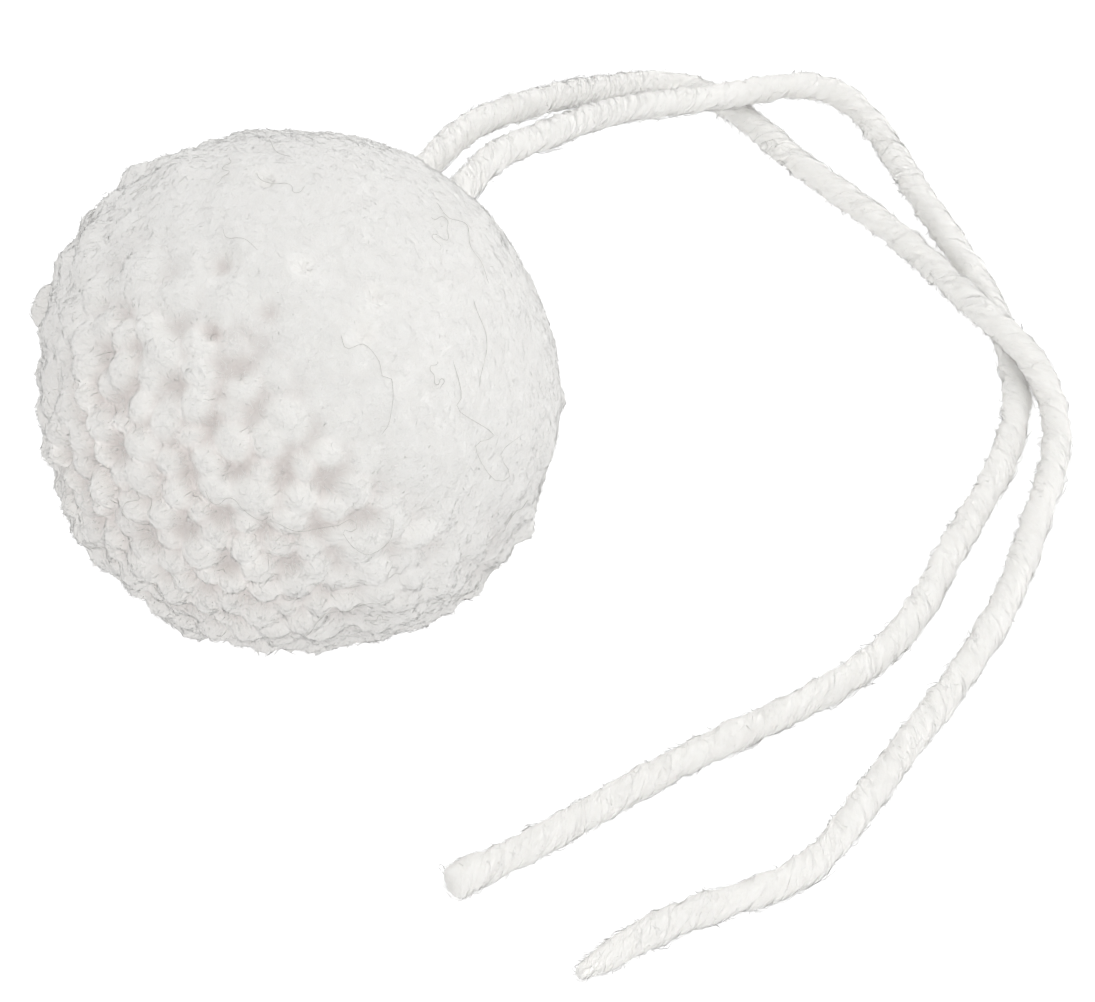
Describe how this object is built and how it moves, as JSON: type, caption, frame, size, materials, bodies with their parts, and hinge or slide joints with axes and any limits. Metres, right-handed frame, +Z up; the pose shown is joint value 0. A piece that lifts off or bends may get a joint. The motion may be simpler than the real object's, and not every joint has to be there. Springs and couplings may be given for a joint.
{
  "type": "yarn pom pom with tie tails",
  "caption": "Round cut-yarn pom pom, lightly flattened where it rests, with the long free ends of its tie laid on the surface.",
  "frame": {"origin": "on the surface that the ball rests on, straight under the middle of the ball", "axes": "+Z up, away from that surface; the tails leave the ball towards +Y and a little +X, and come back round on the +X side"},
  "size_m": [0.1032, 0.1189, 0.0483],
  "materials": {
    "cut_yarn": "matt fuzzy cut ends of off-white yarn",
    "tail_yarn": "matt four-ply off-white yarn with fine stray fibres"
  },
  "bodies": {
    "root": {"pom_pom": "cut_yarn", "tail_a": "tail_yarn", "tail_b": "tail_yarn"}
  },
  "joints": []
}
